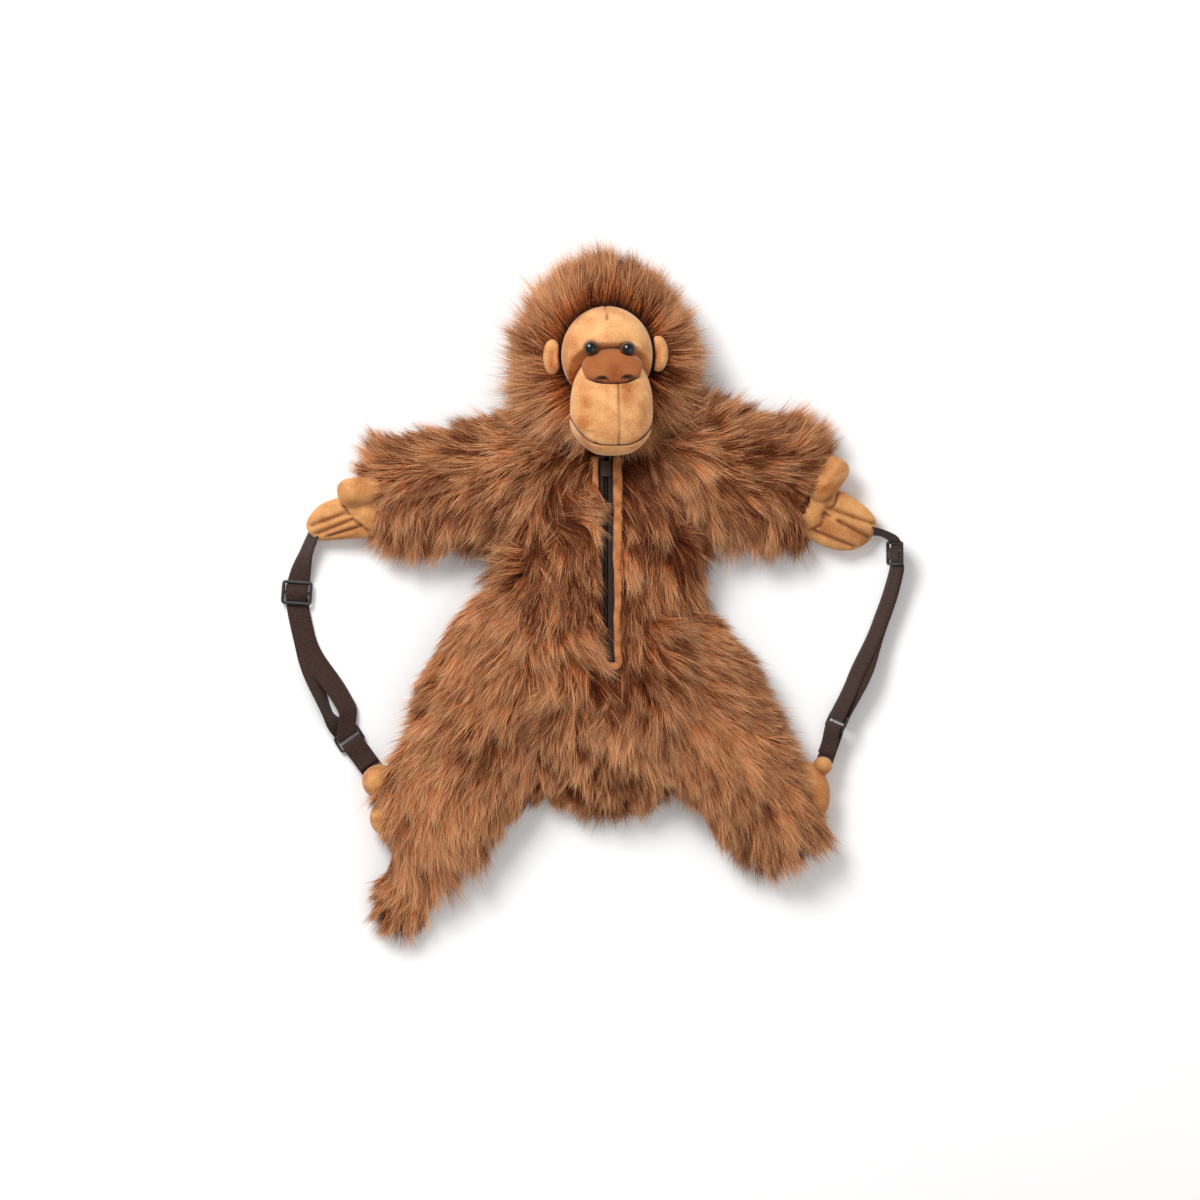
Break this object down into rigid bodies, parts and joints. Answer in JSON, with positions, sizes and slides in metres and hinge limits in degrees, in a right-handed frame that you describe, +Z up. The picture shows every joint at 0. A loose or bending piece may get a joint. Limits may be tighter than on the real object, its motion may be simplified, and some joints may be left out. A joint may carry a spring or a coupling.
{
  "type": "plush animal backpack",
  "caption": "Long-haired plush monkey backpack lying on its back: zipped hollow body, stuffed head, limbs and tail, velour face, hands and feet, adjustable webbing shoulder straps.",
  "frame": {"origin": "centre of the back panel's outer face, on the ground the backpack lies on", "axes": "+Z up out of the belly, +Y towards the head, +X to the right as seen from above"},
  "size_m": [0.5617, 0.6331, 0.118],
  "materials": {
    "fur": "long plush pile, brown with tan tips",
    "velour": "short tan velour nap",
    "nose": "short brown velour nap",
    "eye": "polished black",
    "cloth": "plain woven brown lining and back cloth",
    "zip": "woven dark brown zip tape and coil",
    "welt": "folded tan velour",
    "webbing": "flat woven dark brown webbing",
    "plastic": "moulded black"
  },
  "bodies": {
    "root": {"torso_fur": "fur", "head": "fur", "arm_left": "fur", "arm_right": "fur", "leg_left": "fur", "leg_right": "fur", "tail": "fur", "face": "velour", "muzzle": "velour", "lip": "velour", "ear_left": "velour", "ear_right": "velour", "hand_left": "velour", "hand_right": "velour", "thumb_left": "velour", "thumb_right": "velour", "foot_left": "velour", "foot_right": "velour", "nose": "nose", "eye_left": "eye", "eye_right": "eye", "back_panel": "cloth", "torso_shell": "cloth", "zip_tape_left": "zip", "zip_tape_right": "zip", "zip_coil": "zip", "zip_welt": "welt", "strap_left": "webbing", "strap_right": "webbing", "tab_left": "webbing", "tab_right": "webbing", "zip_slider": "plastic", "glide_left": "plastic", "glide_right": "plastic", "ring_left": "plastic", "ring_right": "plastic"}
  },
  "joints": []
}
